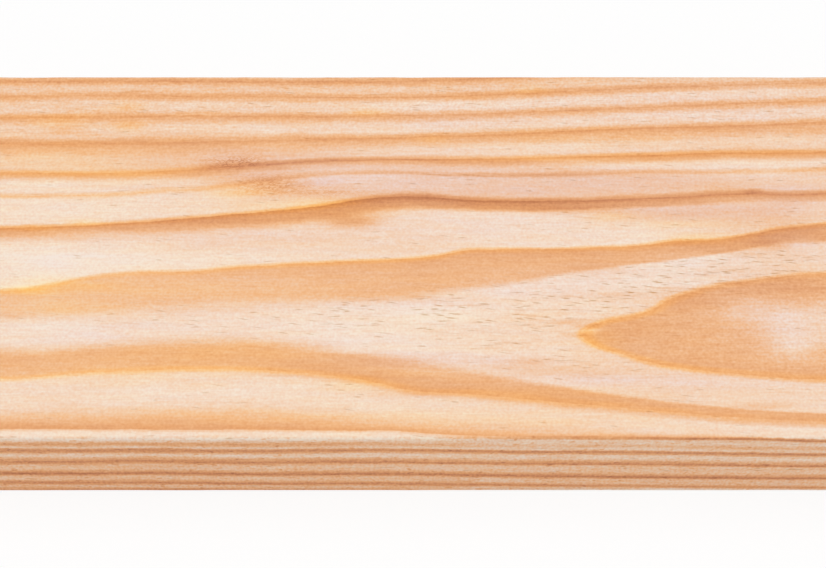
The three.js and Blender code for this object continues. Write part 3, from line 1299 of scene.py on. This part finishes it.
def round_the_pith(width, reach, move=0.0, detail=2.0):
    """Noise with its streaks pointing away from the pith; their width and reach in mm."""
    vector = bundle(sums("DIVIDE", around, width), sums("DIVIDE", out, reach), move)
    return noise_at(vector, detail)


rays = round_the_pith(*RAY_SIZE)
check_line = faded(sums("ABSOLUTE", round_the_pith(*CHECK_SIZE, detail=1.0)), CHECK_LINE)
check_here = round_the_pith(*CHECK_PATCH_SIZE, CHECK_PATCH_MOVE)
check = times(check_line, between(check_here, CHECK_FROM, CHECK_FULL))
print("nodes with the rays and checks:", len(tree.nodes))

# %% [markdown]
# ## The saw's arcs
#
# The teeth of a round saw pass in arcs, so its marks are noise over the distance from the
# middle of the blade. A Wave texture in rings would space them evenly, which no saw does.

# %% The saw's arcs, and all of the marks on the ends
# middle of the blade, width of one tooth mark, and how fast the marks change along an arc
BLADE_AT = (0.0, -0.055, -0.150)
BLADE_MARK = 0.9 * MM
ARC_VARIES = 9.0
# the end starts from a darker tone, and each mark adds its part
END_TONE = 0.42
END_CONTRAST = 0.80
RAYS_DARKEN = 0.35
SAW_DARKENS = 0.22
CHECK_DARKENS = 0.45
at_end = between(sums("ABSOLUTE", where["X"]), LENGTH / 2 - END_EASE, LENGTH / 2 - END_EASE / 4)
on_end = moved(place, scale=(0.0, 1.0, 1.0))
blade = add_node(tree, "VectorMath", {0: on_end, 1: BLADE_AT}, operation="DISTANCE")
sweep = sums("DIVIDE", blade.outputs["Value"], BLADE_MARK)
saw = noise_at(bundle(sweep, times(where["Y"], ARC_VARIES)))
end_tone = plus(END_TONE, times(tone, END_CONTRAST), times(rays, RAYS_DARKEN))
end_tone = plus(end_tone, times(saw, SAW_DARKENS), times(check, CHECK_DARKENS))
tone = blend(at_end, tone, end_tone)
print("nodes with the ends:", len(tree.nodes))

# %% [markdown]
# ## Tone to colour
#
# In pine a darker tone is always also a redder and stronger one, so a single ramp from
# cream to red-brown gives the colour. Three ramps for early wood, late wood and lines would
# leave seams between them. All but the last of its colours are means measured on a real
# plank, one for each step of lightness.

# %% Tone to colour
PINE_TONES = (
    (0.00, (249, 231, 211)),
    (0.12, (246, 219, 196)),
    (0.18, (245, 213, 187)),
    (0.30, (243, 201, 166)),
    (0.42, (242, 189, 145)),
    (0.48, (240, 183, 135)),
    (0.60, (234, 171, 120)),
    (0.72, (226, 159, 108)),
    (0.84, (217, 147, 99)),
    (0.92, (208, 139, 94)),
    (1.00, (200, 131, 88)),
    (1.25, (176, 107, 67)),
)
DARKEST = PINE_TONES[-1][0]


def srgb(red, green, blue):
    """A screen colour, 0 to 255, as the linear colour a shader wants."""
    linear = []
    for value in (red, green, blue):
        v = value / 255.0
        linear.append(v / 12.92 if v <= 0.04045 else ((v + 0.055) / 1.055) ** 2.4)
    return (*linear, 1.0)


ramp = add_node(tree, "ValToRGB", {"Fac": sums("DIVIDE", tone, DARKEST, clamp=True)})
stops = ramp.color_ramp.elements
stops[0].position, stops[0].color = 0.0, srgb(*PINE_TONES[0][1])
stops[1].position, stops[1].color = 1.0, srgb(*PINE_TONES[-1][1])
for at, colour in PINE_TONES[1:-1]:
    stops.new(at / DARKEST).color = srgb(*colour)
print("colours on the ramp:", len(stops))

# %% [markdown]
# ## Yellow and pink
#
# Two things shift the colour off the ramp: resin makes the wood yellower, and some places
# are a shade pinker. Both only scale the red and the blue, so the lightness stays as the
# tone has it. The amber of the resin canals is taken out of each colour the same way.

# %% Yellow and pink
# gold takes blue out of the colour and adds a little red; blush does the opposite
YELLOWING = 0.13
PINKING = 0.17
REDDENING = 0.035
# a canal is filled with amber resin, which takes out most of the blue and least of the red
CANAL_TAKES = dict(Red=0.66, Green=1.0, Blue=1.38)
parts = add_node(tree, "SeparateColor", {"Color": ramp.outputs["Color"]}).outputs
blush = trait_of("blush")
red_cast = minus(times(golden, REDDENING), times(blush, REDDENING))
blue_cast = minus(times(blush, PINKING), times(golden, YELLOWING))
casts = dict(Red=red_cast, Green=0.0, Blue=blue_cast)
whole = {}
for name, takes in CANAL_TAKES.items():
    left = minus(1.0, times(canal, takes))
    whole[name] = times(parts[name], plus(1.0, casts[name]), left)
colour = add_node(tree, "CombineColor", whole).outputs["Color"]
print("nodes with the colour:", len(tree.nodes))

# %% [markdown]
# ## Fine relief
#
# Three things are too fine for any mesh and are left to a Bump node: the fibres, the faint
# ripple of the planer's turning knives, and the furrows of the saw on the ends. Their
# heights are real ones, in millimetres, so the light on them is right at any distance.

# %% Fine relief
# heights in millimetres, each pattern about zero times how far it stands
PLANER_STEP = 2.4 * MM
RIPPLE_HEIGHT = 0.002
FIBRE_HEIGHT = 0.04
SAW_HEIGHT = 0.16
END_FIBRE_HEIGHT = 0.12
ripple = sums("SINE", times(where["X"], 2 * math.pi / PLANER_STEP))
face_height = minus(times(ripple, RIPPLE_HEIGHT), times(texture, FIBRE_HEIGHT))
end_height = minus(times(saw, SAW_HEIGHT), times(texture, END_FIBRE_HEIGHT))
height = blend(at_end, face_height, end_height)
bump = add_node(tree, "Bump", {"Distance": MM, "Height": height}).outputs["Normal"]
print("planer ripple every", round(PLANER_STEP / MM, 1), "mm")

# %% [markdown]
# ## Gloss
#
# Bare wood is nearly matt. Dense late wood and resin shine a little, open early wood less,
# rubbed edges a little more, and a sawn end hardly at all. So the roughness is worked out
# from the same patterns as the colour.

# %% Gloss
# the roughness of a planed face and of a sawn end, and what each pattern takes off or adds
FACE_ROUGH = 0.66
END_ROUGH = 0.88
CLOUDS_DULL = 0.16
LATE_SHINES = 0.09
CANAL_SHINES = 0.5
RUBBED_SHINES = 0.05
gloss = minus(FACE_ROUGH, times(is_late, LATE_SHINES))
gloss = plus(gloss, times(grain(20.0, 1.6, 71.0), CLOUDS_DULL))
gloss = minus(gloss, times(canal, CANAL_SHINES))
gloss = minus(gloss, times(trait_of("arris"), RUBBED_SHINES))
gloss = blend(at_end, gloss, END_ROUGH)
print("nodes with the gloss:", len(tree.nodes))

# %% [markdown]
# ## The finish itself
#
# One Principled shader takes the colour, the gloss and the fine relief. Dry wood reflects
# less than varnish does, so its specular level is half of the usual one.

# %% Put the finish on the plank
SPECULAR = 0.25
finish = {"Base Color": colour, "Roughness": gloss, "Normal": bump, "Specular IOR Level": SPECULAR}
shader = add_node(tree, "BsdfPrincipled", finish)
add_node(tree, "OutputMaterial", {"Surface": shader.outputs["BSDF"]})
plank.data.materials.clear()
plank.data.materials.append(wood)
print("nodes in the wood:", len(tree.nodes))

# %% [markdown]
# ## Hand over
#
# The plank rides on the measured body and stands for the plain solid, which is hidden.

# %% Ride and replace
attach(plank, "root")
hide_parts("plank")
